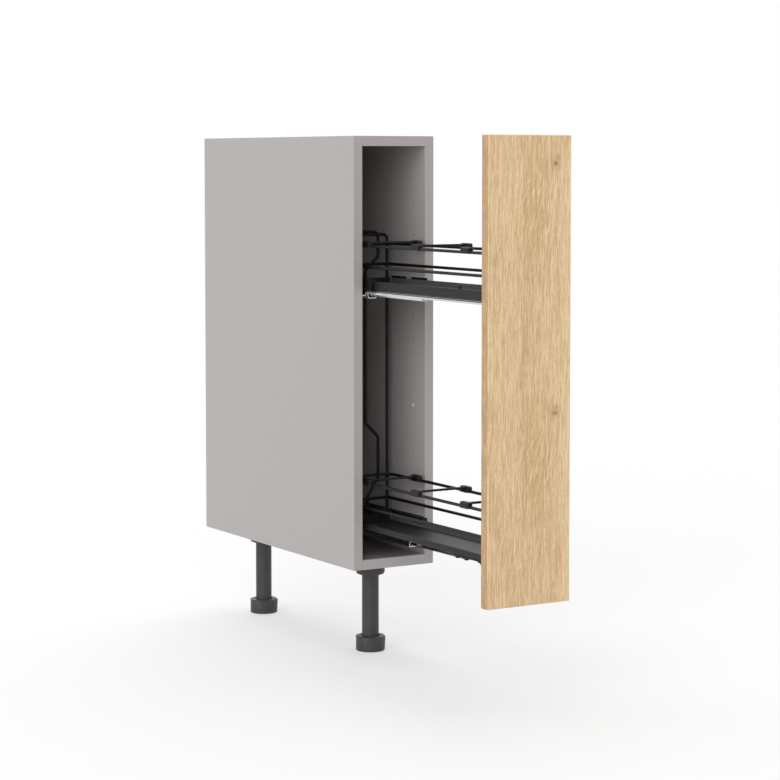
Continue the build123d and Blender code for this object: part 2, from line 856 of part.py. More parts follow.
def divider_clips(level, y):
    """The two clips of a divider, snapped over the ring from above."""
    x = ring_half_width
    z = level.top_ring_z
    clip = block((x - clip_width / 2, x + clip_width / 2),
                 (y - clip_length / 2, y + clip_length / 2), (z - clip_below, z + clip_above))
    edges = clip.edges().filter_by(Axis.Z) + clip.faces().sort_by(Axis.Z)[-1].edges()
    clip = chamfer(edges, clip_ease)
    clip -= rod((x, y - clip_length, z), (0, 1, 0), wire_radius + clip_clearance, 2 * clip_length)
    clip -= block((x - clip_mouth / 2, x + clip_mouth / 2), (y - clip_length, y + clip_length),
                  (z - clip_below - overrun, z))
    clip -= rod((x - clip_width / 2 - overrun, y, z + divider_rise), (1, 0, 0),
                divider_wire_diameter / 2 + clip_clearance, clip_socket_depth + overrun)
    return slid(group([clip, mirror(clip, about=Plane.YZ)]))


# Door
def bracket_span(level):
    """Lower and upper edge of a door bracket's plate."""
    return level.tray_z - bracket_sheet, level.top_ring_z + bracket_above_ring


def door_screw_places(level):
    """Places of a bracket's screws on the door's back, as (x, z)."""
    low, high = bracket_span(level)
    return [(x, z) for x in (-door_screw_offset, door_screw_offset)
            for z in (low + door_screw_low, high - door_screw_drop)]


def front_bracket(level):
    """Bracket: a plate on the door's back and an arm under the tray, away from the runner."""
    low, high = bracket_span(level)
    wide = bracket_half_width
    plate = outline((-wide, low, bracket_corner), (wide, low, bracket_corner),
                    (wide, high, bracket_corner), (-wide, high, bracket_corner))
    bracket = extruded(plate, door_face, bracket_sheet)
    bracket += block((arm_inner, arm_outer), (door_face, door_face + arm_length),
                     (low, low + bracket_sheet))
    gusset = make_face(Polyline((bracket_face, low + bracket_sheet),
                                (bracket_face + arm_bend, low + bracket_sheet),
                                (bracket_face, low + bracket_sheet + arm_bend), close=True))
    bracket += Pos(arm_inner, 0, 0) * extrude(Plane.YZ * gusset, amount=arm_outer - arm_inner)
    for place in adjuster_places:
        bracket -= rod(((arm_inner + arm_outer) / 2, place, low - overrun), (0, 0, 1),
                       adjuster_shank_radius + screw_clearance, bracket_sheet + 2 * overrun)
    for x, z in door_screw_places(level):
        bracket -= rod((x, bracket_face + overrun, z), (0, -1, 0),
                       door_screw_radius + screw_clearance, bracket_sheet + 2 * overrun)
    return slid(on_side(bracket, level))


def tray_adjusters(level):
    """Knobs under the arm, each with a shank up through it."""
    x = (arm_inner + arm_outer) / 2
    knobs = [screw((x, place, level.tray_z - bracket_sheet), (0, 0, 1), radius, adjuster_height,
                   adjuster_shank_radius, bracket_sheet)
             for place, radius in zip(adjuster_places, adjuster_radii)]
    return slid(on_side(group(knobs), level))


def door_panel():
    """Plain door with eased edges and pilot holes for the brackets' screws."""
    low = carcass_bottom + door_rise
    door = block((-door_width / 2, door_width / 2), (door_face - door_thickness, door_face),
                 (low, low + door_height))
    door = chamfer(door.edges(), door_edge_ease)
    for level in levels.values():
        for x, z in door_screw_places(level):
            door -= rod((x, door_face, z), (0, -1, 0), door_screw_radius + screw_clearance,
                        door_screw_depth)
    return slid(door)


def door_screws():
    """Screws from the brackets into the door."""
    screws = []
    for level in levels.values():
        for x, z in door_screw_places(level):
            screws.append(screw((x, bracket_face, z), (0, -1, 0), door_screw_head_radius,
                                door_screw_head_height, door_screw_radius,
                                bracket_sheet + door_screw_depth - screw_clearance))
    return slid(group(screws))


def door_bumpers():
    """Pads on the door's back that meet the carcass's front edges."""
    x = inner_half + panel_thickness / 2
    low = carcass_bottom + door_rise + bumper_inset
    high = carcass_bottom + door_rise + door_height - bumper_inset
    pads = [stud((side * x, door_face, z), (0, -1, 0), bumper_radius, bumper_thickness)
            for side in (-1, 1) for z in (low, high)]
    return slid(group(pads))


# Every node and its piece
stages = {"inner": (inner_cage_start, 0, inner_cage_share),
          "outer": (outer_cage_start, track_height + stage_gap, outer_cage_share)}
both = list(levels.values())

parts["left_side_panel"] = side_panel(-1)
parts["right_side_panel"] = side_panel(1)
parts["top_panel"] = top_panel()
parts["bottom_panel"] = bottom_panel()
parts["back_panel"] = back_panel()
parts["panel_dowels"] = at_joints(dowel, dowel_setbacks)
parts["cam_fittings"] = at_joints(cam, joint_setbacks)
parts["cam_bolts"] = at_joints(cam_bolt, joint_setbacks)
parts["linking_cap"] = linking_cap()
parts["leg_sockets"] = group([leg_socket(y) for y in leg_places()])
parts["leg_tubes"] = group([leg_tube(y) for y in leg_places()])
parts["socket_screws"] = socket_screws()
parts["front_foot"] = foot(leg_places()[0])
parts["rear_foot"] = foot(leg_places()[1])
parts["runner_screws"] = runner_screws()
parts["rail_buffers"] = group([rail_buffer(level) for level in both])
for name, level in levels.items():
    parts[f"{name}_cabinet_rail"] = cabinet_rail(level)
    parts[f"{name}_middle_rail"] = middle_rail(level)
    parts[f"{name}_drawer_rail"] = drawer_rail(level)
    for stage, (start, lift, share) in stages.items():
        parts[f"{name}_{stage}_cage"] = roller_cage(level, start, lift, share)
        parts[f"{name}_{stage}_rollers"] = rollers(level, start, lift, share)
    parts[f"{name}_tray"] = tray(level)
    parts[f"{name}_low_ring"] = ring(level.low_ring_z, low_ring_rear, wire_step)
    parts[f"{name}_top_ring"] = ring(level.top_ring_z, top_ring_rear, top_ring_bend)
    parts[f"{name}_front_bracket"] = front_bracket(level)
    for place, share in zip(("front", "middle", "rear"), divider_place_shares):
        y = rear_frame_setback * share
        parts[f"{name}_{place}_divider"] = divider_wire(level, y)
        parts[f"{name}_{place}_divider_clips"] = divider_clips(level, y)
parts["lower_riser"] = lower_riser()
parts["rear_holders"] = group([rear_holder(level) for level in both])
parts["tray_front_clips"] = group([tray_front_clip(level) for level in both])
parts["rim_guards"] = group([rim_guards(level) for level in both])
parts["tray_adjusters"] = group([tray_adjusters(level) for level in both])
parts["rear_frame_outer"] = rear_frame_outer()
parts["rear_frame_inner"] = rear_frame_inner()
parts["door_panel"] = door_panel()
parts["door_screws"] = door_screws()
parts["door_bumpers"] = door_bumpers()

os.makedirs("parts", exist_ok=True)
for name, shape in parts.items():
    export_step(Pos(0, frame_shift, 0) * shape, f"parts/{name}.step")
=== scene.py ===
import math

import bmesh
import bpy
from mathutils import Matrix, Vector, noise


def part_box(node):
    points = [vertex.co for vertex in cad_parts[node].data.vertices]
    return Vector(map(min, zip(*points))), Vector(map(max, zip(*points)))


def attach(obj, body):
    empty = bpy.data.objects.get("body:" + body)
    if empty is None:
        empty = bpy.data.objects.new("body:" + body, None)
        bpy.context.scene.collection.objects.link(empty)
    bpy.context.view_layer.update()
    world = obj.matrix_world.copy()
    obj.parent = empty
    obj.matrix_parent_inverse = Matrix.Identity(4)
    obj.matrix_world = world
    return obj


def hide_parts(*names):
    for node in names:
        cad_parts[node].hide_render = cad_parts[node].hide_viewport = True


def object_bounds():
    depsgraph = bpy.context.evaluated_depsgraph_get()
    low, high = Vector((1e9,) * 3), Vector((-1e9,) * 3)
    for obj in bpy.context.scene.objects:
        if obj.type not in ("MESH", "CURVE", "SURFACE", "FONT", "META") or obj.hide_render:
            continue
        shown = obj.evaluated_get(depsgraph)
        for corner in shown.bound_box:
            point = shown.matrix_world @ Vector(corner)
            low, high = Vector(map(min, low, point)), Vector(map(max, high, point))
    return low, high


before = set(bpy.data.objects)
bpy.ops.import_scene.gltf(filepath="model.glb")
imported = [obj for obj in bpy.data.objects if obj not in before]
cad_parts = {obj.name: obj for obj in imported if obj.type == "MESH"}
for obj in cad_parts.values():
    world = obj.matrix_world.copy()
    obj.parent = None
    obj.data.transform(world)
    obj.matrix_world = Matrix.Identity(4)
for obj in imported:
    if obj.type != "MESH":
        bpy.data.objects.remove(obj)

bl_info = {
    "name": "Pull-out base cabinet",
    "version": (1, 0, 0),
    "blender": (4, 5, 0),
    "location": "View3D > Sidebar > Cabinet",
    "description": "Finishes, wires, screws, feet and studio for a narrow pull-out base cabinet",
    "category": "Object",
}

MM = 0.001
CAD_BOX = [list(corner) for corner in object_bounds()]
WHITE = (1.0, 1.0, 1.0, 1.0)
LEVELS = ("upper", "lower")
DIVIDERS = ("front", "middle", "rear")
# Drop from a drawer rail's top to the painted shadow line along its shoulder's seam
SEAM_DROP = 5.7 * MM
# Corners of a CAD mesh that lie closer than this are one
WELD_GAP = 0.01 * MM
# Edges of lathed pieces stay sharp where they bend by more than this
SHARP_BEND = math.radians(40)
# Each kind of screw: axis and sign of its way in, body, head height and shank radius
SCREWS = {"runner_screws": (0, 1, "cabinet", 1.8 * MM, 2.4 * MM),
          "door_screws": (1, -1, "pull_out", 2.4 * MM, 1.9 * MM),
          "socket_screws": (2, 1, "cabinet", 2.0 * MM, 1.9 * MM)}
# A pan head from its seat to its flat, in shares of its radius and height
PAN_HEAD_SHARES = ((1.0, 0.0), (1.0, 0.42), (0.95, 0.66), (0.84, 0.86), (0.62, 1.0))


# Values
def linear(code):
    """Linear colour of an sRGB hex code."""
    channels = [int(code[i:i + 2], 16) / 255 for i in (1, 3, 5)]
    return tuple(c / 12.92 if c <= 0.04045 else ((c + 0.055) / 1.055) ** 2.4
                 for c in channels) + (1.0,)


def paler(tone, share):
    """Colour moved by a share towards white."""
    return [channel + share * (1.0 - channel) for channel in tone]


def colour(name, description, code):
    """Colour property from an sRGB hex code."""
    return bpy.props.FloatVectorProperty(name=name, description=description, size=4,
                                         subtype="COLOR", min=0, max=1, default=linear(code))


def length(name, description, millimetres):
    """Length property from millimetres."""
    return bpy.props.FloatProperty(name=name, description=description, subtype="DISTANCE",
                                   unit="LENGTH", precision=5, default=millimetres * MM)


class BoardColours(bpy.types.PropertyGroup):
    """Colours of the panels and the door."""
    foil: colour("Foil", "Pearl-grey melamine foil on the carcass", "#B3AEAD")
    flake_dark: colour("Dark flake", "Darker chips in the raw chipboard edges", "#8A6A45")
    flake_light: colour("Light flake", "Lighter chips in the raw chipboard edges", "#CDB088")
    back_raw: colour("Raw back", "Unfinished rear face of the back panel", "#86684A")
    oak_light: colour("Oak, light", "Lightest streaks of the oak decor", "#F9DCB0")
    oak_dark: colour("Oak, dark", "Darkest streaks of the oak decor", "#CFAA7B")
    oak_knot: colour("Oak, knot", "Heart of a knot", "#7A5E3C")
    band_grey: colour("Edge band, grey", "Greyer stock of the door's edge band", "#B8997C")
    band_brown: colour("Edge band, brown", "Browner stock of the door's edge band", "#C69A69")
    beech: colour("Beech", "Dowels", "#CDA678")


class MetalColours(bpy.types.PropertyGroup):
    """Colours of the metal pieces."""
    zinc: colour("Zinc", "Bright zinc plate on the runners and screws", "#D6D8DA")
    diecast: colour("Die-cast", "Zinc alloy of the cams", "#A9ABAD")
    sheet: colour("Sheet", "Anthracite powder coat on trays and brackets", "#1F1F20")
    sheet_inside: colour("Sheet inside", "Inner walls of the trays", "#606062")
    wire: colour("Wire", "Near-black powder coat on the wires", "#101011")


class PlasticColours(bpy.types.PropertyGroup):
    """Colours of the moulded pieces."""
    black: colour("Black plastic", "Clips, holders, cages and buffers", "#0F0F10")
    leg: colour("Leg plastic", "Legs, sockets and feet", "#3C3C3D")
    light: colour("Light plastic", "Cap and door pads", "#D9D6D0")


class WireSizes(bpy.types.PropertyGroup):
    """Bends and steps of the wires."""
    top_bend: length("Top ring bend", "Bend radius of the upper rail of a basket", 15.0)
    low_bend: length("Low ring bend", "Bend radius of the lower rail of a basket", 5.02)
    outer_bend: length("Outer bow bend", "Bend radius of the rear frame's outer bow", 8.0)
    inner_bend: length("Inner bow bend", "Bend radius of the rear frame's inner bow", 7.0)
    foot_half: length("Foot half gap", "Half the gap of the inner bow's feet", 9.3)
    narrow_half: length("Narrow half gap", "Half the gap of the inner bow between the trays", 5.1)
    low_jog: length("Low jog", "Height of the first jog above the feet", 33.5)
    low_jog_rise: length("Low jog rise", "Rise of the first jog", 33.0)
    middle_jog: length("Middle jog", "Height of the second jog above the feet", 133.5)
    middle_jog_rise: length("Middle jog rise", "Rise of the second jog", 25.0)
    top_jog: length("Top jog", "Start of the last jog below the bow's top", 63.6)
    top_jog_rise: length("Top jog rise", "Rise of the last jog", 22.6)
    short_leg: length("Short leg", "Length of the outer bow's short leg", 81.5)
    low_leg: length("Low leg", "Length of the separate leg behind the lower basket", 82.5)


class FastenerSizes(bpy.types.PropertyGroup):
    """Shapes of the screw heads, the feet and the tray adjusters."""
    recess_arm: length("Recess arm", "Half length of the cross recess", 1.9)
    recess_width: length("Recess width", "Width of the cross recess", 0.9)
    recess_depth: length("Recess depth", "Depth of the cross recess", 1.3)
    thread_pitch: length("Thread pitch", "Pitch of the feet's spindles", 3.0)
    thread_depth: length("Thread depth", "Depth of the feet's spindle thread", 1.1)
    sole_round: length("Sole round", "Rounding of a foot's sole", 1.5)
    top_round: length("Top round", "Rounding of a foot's top edge", 3.0)
    foot_height: length("Foot height", "Height of a screw foot without its spindle", 25.0)
    recess_radius: length("Recess radius", "Radius of the recess in a foot", 15.6)
    foot_recess: length("Foot recess", "Depth of the recess in a foot", 9.0)
    spindle_radius: length("Spindle radius", "Outer radius of the spindle", 11.0)
    knob_radius: length("Knob radius", "Radius of a tray adjuster's knob", 3.8)
    knob_drop: length("Knob drop", "Height of the knob below the adjuster's disc", 2.6)
    flute_depth: length("Flute depth", "Depth of the flutes round the knob", 0.35)


class StudioSettings(bpy.types.PropertyGroup):
    """Camera and light."""
    eye: bpy.props.FloatVectorProperty(
        name="Camera place", description="Where the camera stands", subtype="TRANSLATION",
        size=3, default=(-1.9223, -3.2752, 0.8082))
    turn: bpy.props.FloatProperty(
        name="Camera turn", description="Turn of the view from +Y towards +X",
        subtype="ANGLE", default=math.radians(30.878))
    tilt: bpy.props.FloatProperty(
        name="Camera tilt", description="Downward tilt of the view", subtype="ANGLE",
        default=math.radians(3.708))
    lens: bpy.props.FloatProperty(
        name="Lens", description="Focal length", subtype="DISTANCE_CAMERA", default=106.804)
    sensor: bpy.props.FloatProperty(
        name="Sensor", description="Sensor width", subtype="DISTANCE_CAMERA", default=36.0)
    shift: bpy.props.FloatProperty(
        name="Vertical shift", description="Upward shift of the lens", default=-0.1)
    key: bpy.props.FloatProperty(
        name="Key light", description="Strength of the wide light above and behind", default=2.2)
    fill: bpy.props.FloatProperty(
        name="Fill light", description="Strength of the wide light on the left", default=1.54)
    sky: bpy.props.FloatProperty(
        name="Sky", description="Strength of the light from all round", default=0.32)
    floor_glow: bpy.props.FloatProperty(
        name="Floor glow", description="White of the floor that shadow can't darken",
        subtype="FACTOR", min=0, max=1, default=0.445)
    floor_paint: bpy.props.FloatProperty(
        name="Floor paint", description="White of the floor that the lamps light",
        subtype="FACTOR", min=0, max=1, default=0.49)


# Materials
def add(tree, kind, *values, **named):
    """Add a shader node, whose kind may be followed by the word that sets what it does. Values
    fill its inputs, in order or by name: numbers, sockets, or nodes for their first output."""
    kind, _, setting = kind.partition(" ")
    made = tree.nodes.new("ShaderNode" + kind)
    if setting:
        setattr(made, "data_type" if kind == "Mix" else "operation", setting)
    filled = list(zip([socket for socket in made.inputs if socket.enabled], values))
    filled += [(made.inputs[name.replace("_", " ")], value) for name, value in named.items()]
    for socket, value in filled:
        if isinstance(value, bpy.types.Node):
            value = next(output for output in value.outputs if output.enabled)
        if isinstance(value, bpy.types.NodeSocket):
            tree.links.new(value, socket)
        else:
            socket.default_value = value
    return made


def cleared(holder):
    """Empty node tree of a material or a world."""
    holder.use_nodes = True
    holder.node_tree.nodes.clear()
    return holder.node_tree


def blank(name):
    """Empty material with its tree, the place on the object and the surface direction."""
    made = bpy.data.materials.new(name)
    tree = cleared(made)
    # The place is in metres, so a pattern's scale is the number of its grains in a metre
    coords = add(tree, "TexCoord").outputs
    return made, tree, coords["Object"], coords["Normal"]


def surfaced(tree, height, depth, **inputs):
    """Close a tree with its surface shader, and a bump of a real depth."""
    bump = add(tree, "Bump", Strength=1.0, Distance=depth, Height=height)
    add(tree, "OutputMaterial", add(tree, "BsdfPrincipled", Normal=bump, **inputs))


def melamine_board(name, face_axis, colours):
    """Melamine-faced chipboard: flat pearl foil with fine press grain, raw chips on cut edges."""
    made, tree, place, normal = blank(name)
    facing = add(tree, "SeparateXYZ", normal).outputs
    face = add(tree, "Math GREATER_THAN", add(tree, "Math ABSOLUTE", facing[face_axis]), 0.5)
    front = add(tree, "Math LESS_THAN", facing[1], -0.5)
    foiled = add(tree, "Math MAXIMUM", face, front)
    # Chips are 1 to 3 mm across in the real core
    chips = add(tree, "TexVoronoi", add(tree, "VectorMath MULTIPLY", place, (1.0, 0.6, 0.6)),
                Scale=900.0, Randomness=1.0)
    tone = add(tree, "SeparateColor", chips.outputs["Color"])
    core = add(tree, "Mix RGBA", tone, colours.flake_dark, colours.flake_light)
    # Press grain is about 0.3 mm on the real foil, drawn at 0.7 mm so that it shows
    grain = add(tree, "TexNoise", place, Scale=1400.0, Detail=3.0)
    pale = add(tree, "MapRange", grain, 0.3, 0.7, 0.0, 0.02)
    foil = add(tree, "Mix RGBA", pale, colours.foil, WHITE)
    rough = add(tree, "MapRange", grain, 0.3, 0.7, 0.42, 0.52)
    surfaced(tree, add(tree, "Mix FLOAT", foiled, chips, grain), 0.03 * MM,
             Base_Color=add(tree, "Mix RGBA", foiled, core, foil),
             Roughness=add(tree, "Mix FLOAT", foiled, 0.9, rough))
    return made


def oak_layers(tree, place):
    """Noises of the oak print by name, each drawn out along the grain."""
    # Streaks are about 3 mm by 100 mm, fibre 1 mm by 25 mm and flecks 1.4 mm by 7 mm. Pores are
    # 0.2 mm by 4 mm on the real decor, drawn at 0.5 mm by 8 mm so that they show
    layers = {}
    for layer, scale, detail, bend in (("streak", (310.0, 60.0, 10.0), 2.0, 0.2),
                                       ("fibre", (1050.0, 200.0, 40.0), 2.0, 0.2),
                                       ("fleck", (700.0, 300.0, 140.0), 1.0, 0.4),
                                       ("pore", (2100.0, 600.0, 130.0), 1.0, 0.0),
                                       ("cloud", (22.0, 14.0, 6.0), 2.0, 0.3)):
        layers[layer] = add(tree, "TexNoise", add(tree, "VectorMath MULTIPLY", place, scale),
                            Scale=1.0, Detail=detail, Distortion=bend)
    return layers


def oak_rise(tree, height, top):
    """Height from the nearest knot, on a print that repeats down the door."""
    repeat, share_below, first_drop = 370 * MM, 0.68, 42 * MM
    start = top - first_drop - share_below * repeat
    turns = add(tree, "Math DIVIDE", add(tree, "Math SUBTRACT", height, start), repeat)
    share = add(tree, "Math FRACT", turns)
    return add(tree, "Math MULTIPLY", add(tree, "Math SUBTRACT", share, share_below), repeat)


def oak_plank(tree, across, rise, joint_x, edge_x):
    """Shade of the right plank: dark at the joint, most of all below a knot, and pale outside."""
    right = add(tree, "MapRange", across, joint_x - 0.7 * MM, joint_x + 0.7 * MM)
    for edge, far in ((30 * MM, 0.0), (-190 * MM, -150 * MM)):
        joined = add(tree, "MapRange", rise, edge, far, 0.35, 1.0)
        right = add(tree, "Math MULTIPLY", right, joined)
    slope = add(tree, "MapRange", across, joint_x, edge_x - 12 * MM, -0.32, 0.1)
    sapwood = add(tree, "MapRange", across, edge_x - 18 * MM, edge_x - 7 * MM, 0.0, 0.16)
    return add(tree, "Math MULTIPLY_ADD", right, slope, sapwood)


def oak_fan(tree, at, rise, knot_x, joint_x):
    """Light lines about 5 mm apart below a knot, which fan out from a point over it."""
    source_x, source_rise, reach = knot_x + 12 * MM, 85 * MM, 135 * MM
    under = add(tree, "Math SUBTRACT", source_rise, rise)
    angle = add(tree, "Math ARCTAN2", add(tree, "Math SUBTRACT", at[0], source_x), under)
    fan = add(tree, "CombineXYZ", add(tree, "Math MULTIPLY", angle, reach), at[1], under)
    line = add(tree, "TexNoise", add(tree, "VectorMath MULTIPLY", fan, (230.0, 40.0, 14.0)),
               Scale=1.0, Detail=1.0, Distortion=0.4)
    off_line = add(tree, "Math ABSOLUTE", add(tree, "Math SUBTRACT", line, 0.52))
    crest = add(tree, "MapRange", off_line, 0.0, 0.07, 0.46, -0.1)
    fanned = add(tree, "Math SUBTRACT", crest, add(tree, "MapRange", line, 0.5, 0.36, 0.0, 0.08))
    for way, edge, far in ((rise, -155 * MM, -100 * MM), (rise, -4 * MM, -34 * MM),
                           (at[0], joint_x - 1 * MM, joint_x + 1 * MM),
                           (at[0], source_x, knot_x - 8 * MM)):
        fanned = add(tree, "Math MULTIPLY", fanned, add(tree, "MapRange", way, edge, far))
    return fanned


def oak_knots(tree, across, rise, knots):
    """Dark hearts of the knots, and the wide halos round them, by place, size and strength."""
    sums = [0.0, 0.0]
    for x, z, wide, tall, strength in knots:
        aside = add(tree, "Math DIVIDE", add(tree, "Math SUBTRACT", across, x), wide)
        apart = add(tree, "Math DIVIDE", add(tree, "Math SUBTRACT", rise, z), tall)
        span = add(tree, "Math MULTIPLY_ADD", aside, aside,
                   add(tree, "Math MULTIPLY", apart, apart))
        for i, steep in enumerate((-1.0, -0.09)):
            bell = add(tree, "Math EXPONENT", add(tree, "Math MULTIPLY", span, steep))
            sums[i] = add(tree, "Math MULTIPLY_ADD", bell, strength, sums[i])
    return sums


def oak_band(tree, place, ahead, layers, colours):
    """Edge band: greyer at the back of the door and browner at its face, in long lobes."""
    lobe = add(tree, "TexNoise", add(tree, "VectorMath MULTIPLY", place, (30.0, 90.0, 20.0)),
               Scale=1.0, Detail=3.0, Distortion=1.2)
    brown = add(tree, "MapRange", add(tree, "Math ADD", lobe, ahead), 0.42, 0.6)
    band = add(tree, "Mix RGBA", brown, colours.band_grey, colours.band_brown)
    pale = add(tree, "MapRange", layers["fibre"], 0.4, 0.7, 0.0, 0.3)
    band = add(tree, "Mix RGBA", pale, band, colours.oak_light)
    dark = add(tree, "MapRange", layers["fleck"], 0.5, 0.3, 0.0, 0.25)
    return add(tree, "Mix RGBA", dark, band, colours.oak_knot)


def oak_decor(colours, box):
    """Oak decor foil: fine upright fibre on two planks, knots with a fan of lines, edge bands."""
    made, tree, place, normal = blank("oak_decor_foil")
    (left, front, _), (right, back, top) = box
    facing = add(tree, "SeparateXYZ", normal).outputs
    at = add(tree, "SeparateXYZ", place).outputs
    knot_x, joint_x = (left + share * (right - left) for share in (0.81, 0.41))
    rise = oak_rise(tree, at[2], top)
    layers = oak_layers(tree, place)
    tone = 0.5
    for layer, weight in (("streak", 0.95), ("fibre", 2.3), ("fleck", 0.9), ("cloud", 0.5)):
        part = add(tree, "Math SUBTRACT", layers[layer], 0.5)
        tone = add(tree, "Math MULTIPLY_ADD", part, weight, tone)
    for shade in (add(tree, "MapRange", layers["pore"], 0.64, 0.74, 0.0, -0.35),
                  oak_plank(tree, at[0], rise, joint_x, right),
                  oak_fan(tree, at, rise, knot_x, joint_x)):
        tone = add(tree, "Math ADD", tone, shade)
    # A pair of small dark knots, and a faint one low on the left plank
    heart, halo = oak_knots(tree, at[0], rise, (
        (knot_x, 0.0, 3.2 * MM, 2.8 * MM, 1.6),
        (knot_x + 2.5 * MM, 9.5 * MM, 2.2 * MM, 3.0 * MM, 0.8),
        (left + 11 * MM, -143 * MM, 4 * MM, 8 * MM, 0.28)))
    tone = add(tree, "Math MULTIPLY_ADD", halo, -0.25, tone)
    face = add(tree, "Mix RGBA", tone, colours.oak_dark, colours.oak_light)
    mottled = add(tree, "MapRange", layers["fibre"], 0.35, 0.6, 0.8, 0.36)
    face = add(tree, "Mix RGBA", add(tree, "Math MULTIPLY", heart, mottled), face,
               colours.oak_knot)
    ahead = add(tree, "MapRange", at[1], back, front, -0.16, 0.16)
    band = oak_band(tree, place, ahead, layers, colours)
    on_face = add(tree, "Math GREATER_THAN", add(tree, "Math ABSOLUTE", facing[1]), 0.3)
    pits = add(tree, "MapRange", layers["pore"], 0.6, 0.75, 0.0, 0.8)
    surfaced(tree, add(tree, "Math SUBTRACT", layers["fibre"], pits), 0.05 * MM,
             Base_Color=add(tree, "Mix RGBA", on_face, band, face),
             Roughness=add(tree, "MapRange", layers["fibre"], 0.3, 0.7, 0.5, 0.62))
    return made


def lacquered_hardboard(colours):
    """Hardboard: lacquered to match the carcass in front, brown pressed fibre behind."""
    made, tree, place, normal = blank("lacquered_hardboard")
    facing = add(tree, "SeparateXYZ", normal).outputs
    raw = add(tree, "Math GREATER_THAN", facing[1], -0.5)
    # Fibre bundles are 1 to 5 mm long in the real board
    fibre = add(tree, "TexNoise", place, Scale=420.0, Detail=5.0, Distortion=1.2)
    grain = add(tree, "TexNoise", place, Scale=1400.0, Detail=2.0)
    pale = add(tree, "MapRange", grain, 0.3, 0.8, 0.0, 0.05)
    lacquer = add(tree, "Mix RGBA", pale, colours.foil, WHITE)
    strand = add(tree, "MapRange", fibre, 0.3, 0.7, 0.0, 0.5)
    pressed = add(tree, "Mix RGBA", strand, colours.back_raw, colours.flake_light)
    surfaced(tree, add(tree, "Mix FLOAT", raw, grain, fibre), 0.05 * MM,
             Base_Color=add(tree, "Mix RGBA", raw, lacquer, pressed),
             Roughness=add(tree, "Mix FLOAT", raw, 0.5, 0.85))
    return made


def turned_beech(colours):
    """Beech dowel: fine brown flecks along the grain, dull and unfinished."""
    made, tree, place, _ = blank("turned_beech")
    along = add(tree, "VectorMath MULTIPLY", place, (90.0, 1500.0, 1500.0))
    fleck = add(tree, "TexNoise", along, Scale=1.0, Detail=2.0)
    brown = add(tree, "MapRange", fleck, 0.5, 0.75, 0.0, 0.6)
    tone = add(tree, "Mix RGBA", brown, colours.beech, colours.flake_dark)
    surfaced(tree, fleck, 0.05 * MM, Base_Color=tone, Roughness=0.75)
    return made


def bright_zinc(name, colours, seam_shade=None, seams=()):
    """Zinc-plated rolled steel: fine lines along the strip, and a painted shadow line at each
    seam.
    """
    made, tree, place, normal = blank(name)
    # Rolling lines are about 0.1 mm apart on the real strip, drawn at 0.4 mm so that they show
    along = add(tree, "VectorMath MULTIPLY", place, (2500.0, 12.0, 2500.0))
    drawn = add(tree, "TexNoise", along, Scale=1.0, Detail=2.0)
    cloud = add(tree, "TexNoise", place, Scale=60.0, Detail=3.0)
    dull = add(tree, "MapRange", cloud, 0.35, 0.7, 0.0, 0.35)
    tone = add(tree, "Mix RGBA", dull, colours.zinc, colours.diecast)
    if seams:
        height = add(tree, "SeparateXYZ", place).outputs[2]
        sideways = add(tree, "Math ABSOLUTE", add(tree, "SeparateXYZ", normal))
        upright = add(tree, "Math GREATER_THAN", sideways, 0.5)
        for seam in seams:
            away = add(tree, "Math ABSOLUTE", add(tree, "Math SUBTRACT", height, seam))
            # A painted shadow line 1.5 mm high on upright faces, that covers the zinc to 93%
            painted_shade = add(tree, "Math MULTIPLY", upright,
                         add(tree, "MapRange", away, 0.85 * MM, 0.7 * MM, 0.0, 0.93))
            tone = add(tree, "Mix RGBA", painted_shade, tone, seam_shade)
    rough = add(tree, "Math ADD", add(tree, "MapRange", drawn, 0.3, 0.7, 0.1, 0.18),
                add(tree, "MapRange", cloud, 0.3, 0.7, 0.0, 0.06))
    surfaced(tree, drawn, 0.01 * MM, Base_Color=tone, Metallic=1.0, Roughness=rough)
    return made


def diecast_zinc(colours):
    """Die-cast zinc alloy: dull grey metal with a soft cast skin."""
    made, tree, place, _ = blank("diecast_zinc_alloy")
    skin = add(tree, "TexNoise", place, Scale=900.0, Detail=4.0)
    bright = add(tree, "MapRange", skin, 0.3, 0.7, 0.0, 0.3)
    surfaced(tree, skin, 0.05 * MM, Metallic=1.0,
             Base_Color=add(tree, "Mix RGBA", bright, colours.diecast, colours.zinc),
             Roughness=add(tree, "MapRange", skin, 0.3, 0.7, 0.45, 0.6))
    return made


def powder_coat(name, tone, rough, peel, gloss, inside=None):
    """Powder-coated steel: baked paint with orange peel and a broad soft highlight."""
    made, tree, place, normal = blank(name)
    # Orange peel is about 1 mm from crest to crest
    skin = add(tree, "TexNoise", place, Scale=850.0, Detail=2.0)
    speck = add(tree, "TexNoise", place, Scale=3200.0, Detail=1.0)
    body = add(tree, "Mix RGBA", add(tree, "MapRange", speck, 0.52, 0.75, 0.0, 0.4), tone,
               paler(tone, 0.05))
    if inside:
        # Negative where a wall off the middle plane faces back towards it
        outward = add(tree, "Math MULTIPLY", add(tree, "SeparateXYZ", place),
                      add(tree, "SeparateXYZ", normal))
        inner = add(tree, "MapRange", outward, -10 * MM, -30 * MM)
        body = add(tree, "Mix RGBA", inner, body, inside)
    surfaced(tree, skin, peel, Base_Color=body, Specular_IOR_Level=gloss,
             Roughness=add(tree, "MapRange", speck, 0.3, 0.7, rough - 0.05, rough + 0.06))
    return made


